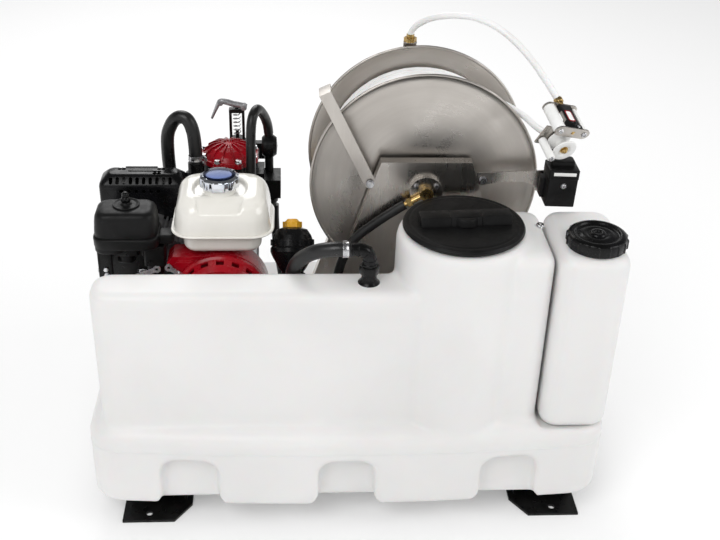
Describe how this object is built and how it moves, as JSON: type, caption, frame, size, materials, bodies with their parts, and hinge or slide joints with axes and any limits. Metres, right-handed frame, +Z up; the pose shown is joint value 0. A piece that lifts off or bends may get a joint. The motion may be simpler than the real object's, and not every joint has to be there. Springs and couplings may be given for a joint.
{
  "type": "skid-mounted sprayer unit",
  "caption": "Skid-mounted sprayer: moulded white tank and rinse tank carrying a petrol engine, diaphragm pump and stainless hose reel with white hose.",
  "frame": {"origin": "centre of the footprint, on the ground under the skids", "axes": "+X to the right along the tank's length, +Y to the rear, away from the filler side, +Z up"},
  "size_m": [1.09, 0.74, 1.0057],
  "materials": {
    "white_poly": "rotomoulded satin",
    "black_poly": "fine satin",
    "gloss_black": "moulded gloss",
    "black_steel": "semi-gloss paint",
    "red_paint": "gloss paint",
    "fuel_white": "gloss enamel",
    "chrome": "polished",
    "stainless": "brushed",
    "zinc": "bright zinc",
    "cast_alloy": "cast",
    "black_rubber": "smooth",
    "white_hose": "smooth satin",
    "white_roller": "turned nylon",
    "brass": "turned",
    "amber": "moulded",
    "filter_mesh": "moulded mesh"
  },
  "bodies": {
    "root": {"main_tank": "white_poly", "basket_strainer": "filter_mesh", "neck_ring": "black_poly", "rinse_tank": "white_poly", "left_skid": "black_steel", "right_skid": "black_steel", "outlet_fitting": "gloss_black", "suction_hose": "black_rubber", "hose_clamps": "zinc", "filter_body": "gloss_black", "engine_plate": "black_steel", "crankcase": "cast_alloy", "fan_cover": "red_paint", "recoil_cover": "red_paint", "fuel_tank": "fuel_white", "air_cleaner": "black_poly", "muffler": "black_steel", "muffler_guard": "black_steel", "carburettor": "cast_alloy", "spark_plug": "black_rubber", "oil_filler_cap": "black_poly", "pump_body": "black_steel", "pump_heads": "red_paint", "pump_head_bolts": "zinc", "damper": "black_steel", "regulator_body": "black_steel", "regulator_spring": "zinc", "suction_manifold": "gloss_black", "loop_hose": "black_rubber", "bypass_hose": "black_rubber", "front_stand": "stainless", "rear_stand": "stainless", "stand_bolts": "zinc", "swivel_joint": "brass", "delivery_hose": "black_rubber", "hose_keeper": "stainless", "guide_arm": "stainless", "guide_housing": "black_poly", "guide_frame": "stainless", "parking_stub": "brass", "arch_hose": "white_hose", "lead_hose": "white_hose"},
    "main_lid": {"main_lid": "black_poly"},
    "rinse_cap": {"rinse_cap": "gloss_black"},
    "filter_valve_cap": {"filter_valve_cap": "amber"},
    "starter_grip": {"starter_grip": "black_rubber"},
    "fuel_cap": {"fuel_cap": "chrome"},
    "air_cleaner_knob": {"air_cleaner_knob": "gloss_black"},
    "throttle_lever": {"throttle_lever": "zinc"},
    "choke_lever": {"choke_lever": "zinc"},
    "engine_switch": {"engine_switch": "black_poly"},
    "regulator_lever": {"regulator_lever": "cast_alloy"},
    "left_roller": {"left_roller": "white_roller"},
    "right_roller": {"right_roller": "white_roller"},
    "lower_roller": {"lower_roller": "white_roller"},
    "guide_spool": {"guide_spool": "white_roller"},
    "reel": {"reel_shaft": "stainless", "reel_flanges": "stainless", "drum_core": "stainless", "hose_winding": "white_hose"}
  },
  "joints": [
    {"name": "main_lid_lift", "type": "slide", "parent": "root", "child": "main_lid", "axis": [0, 0, 1], "range_m": [0, 0.2]},
    {"name": "rinse_cap_lift", "type": "slide", "parent": "root", "child": "rinse_cap", "axis": [0, 0, 1], "range_m": [0, 0.1]},
    {"name": "fuel_cap_lift", "type": "slide", "parent": "root", "child": "fuel_cap", "axis": [0, 0, 1], "range_m": [0, 0.06]},
    {"name": "filter_valve_pull", "type": "slide", "parent": "root", "child": "filter_valve_cap", "axis": [0, 0.5, 0.866], "range_m": [0, 0.05]},
    {"name": "starter_pull", "type": "slide", "parent": "root", "child": "starter_grip", "axis": [0, 0, 1], "range_m": [0, 0.3], "stiffness_N_per_m": 25},
    {"name": "air_cleaner_knob_turn", "type": "hinge", "parent": "root", "child": "air_cleaner_knob", "pos_m": [-0.47, -0.092, 0.658], "axis": [0, 0, 1], "continuous": true},
    {"name": "throttle_turn", "type": "hinge", "parent": "root", "child": "throttle_lever", "pos_m": [-0.412, -0.132, 0.512], "axis": [0, 1, 0], "range_deg": [-30, 0]},
    {"name": "choke_turn", "type": "hinge", "parent": "root", "child": "choke_lever", "pos_m": [-0.386, -0.14, 0.52], "axis": [0, 1, 0], "range_deg": [-40, 0]},
    {"name": "switch_turn", "type": "hinge", "parent": "root", "child": "engine_switch", "pos_m": [-0.386, -0.13, 0.504], "axis": [0, 1, 0], "range_deg": [0, 45]},
    {"name": "regulator_lever_turn", "type": "hinge", "parent": "root", "child": "regulator_lever", "pos_m": [-0.243, 0.302, 0.6976], "axis": [0, 1, 0], "range_deg": [0, 40]},
    {"name": "reel_spin", "type": "hinge", "parent": "root", "child": "reel", "pos_m": [0.146, 0, 0.672], "axis": [0, 1, 0], "continuous": true},
    {"name": "left_roller_spin", "type": "hinge", "parent": "root", "child": "left_roller", "pos_m": [0.391, -0.165, 0.842], "axis": [-0.2364, 0.8824, 0.4067], "continuous": true},
    {"name": "right_roller_spin", "type": "hinge", "parent": "root", "child": "right_roller", "pos_m": [0.44417, -0.14295, 0.82506], "axis": [-0.2364, 0.8824, 0.4067], "continuous": true},
    {"name": "lower_roller_spin", "type": "hinge", "parent": "root", "child": "lower_roller", "pos_m": [0.37676, -0.18267, 0.78846], "axis": [-0.2364, 0.8824, 0.4067], "continuous": true},
    {"name": "guide_spool_spin", "type": "hinge", "parent": "root", "child": "guide_spool", "pos_m": [0.40849, -0.15311, 0.79195], "axis": [-0.2364, 0.8824, 0.4067], "continuous": true}
  ]
}
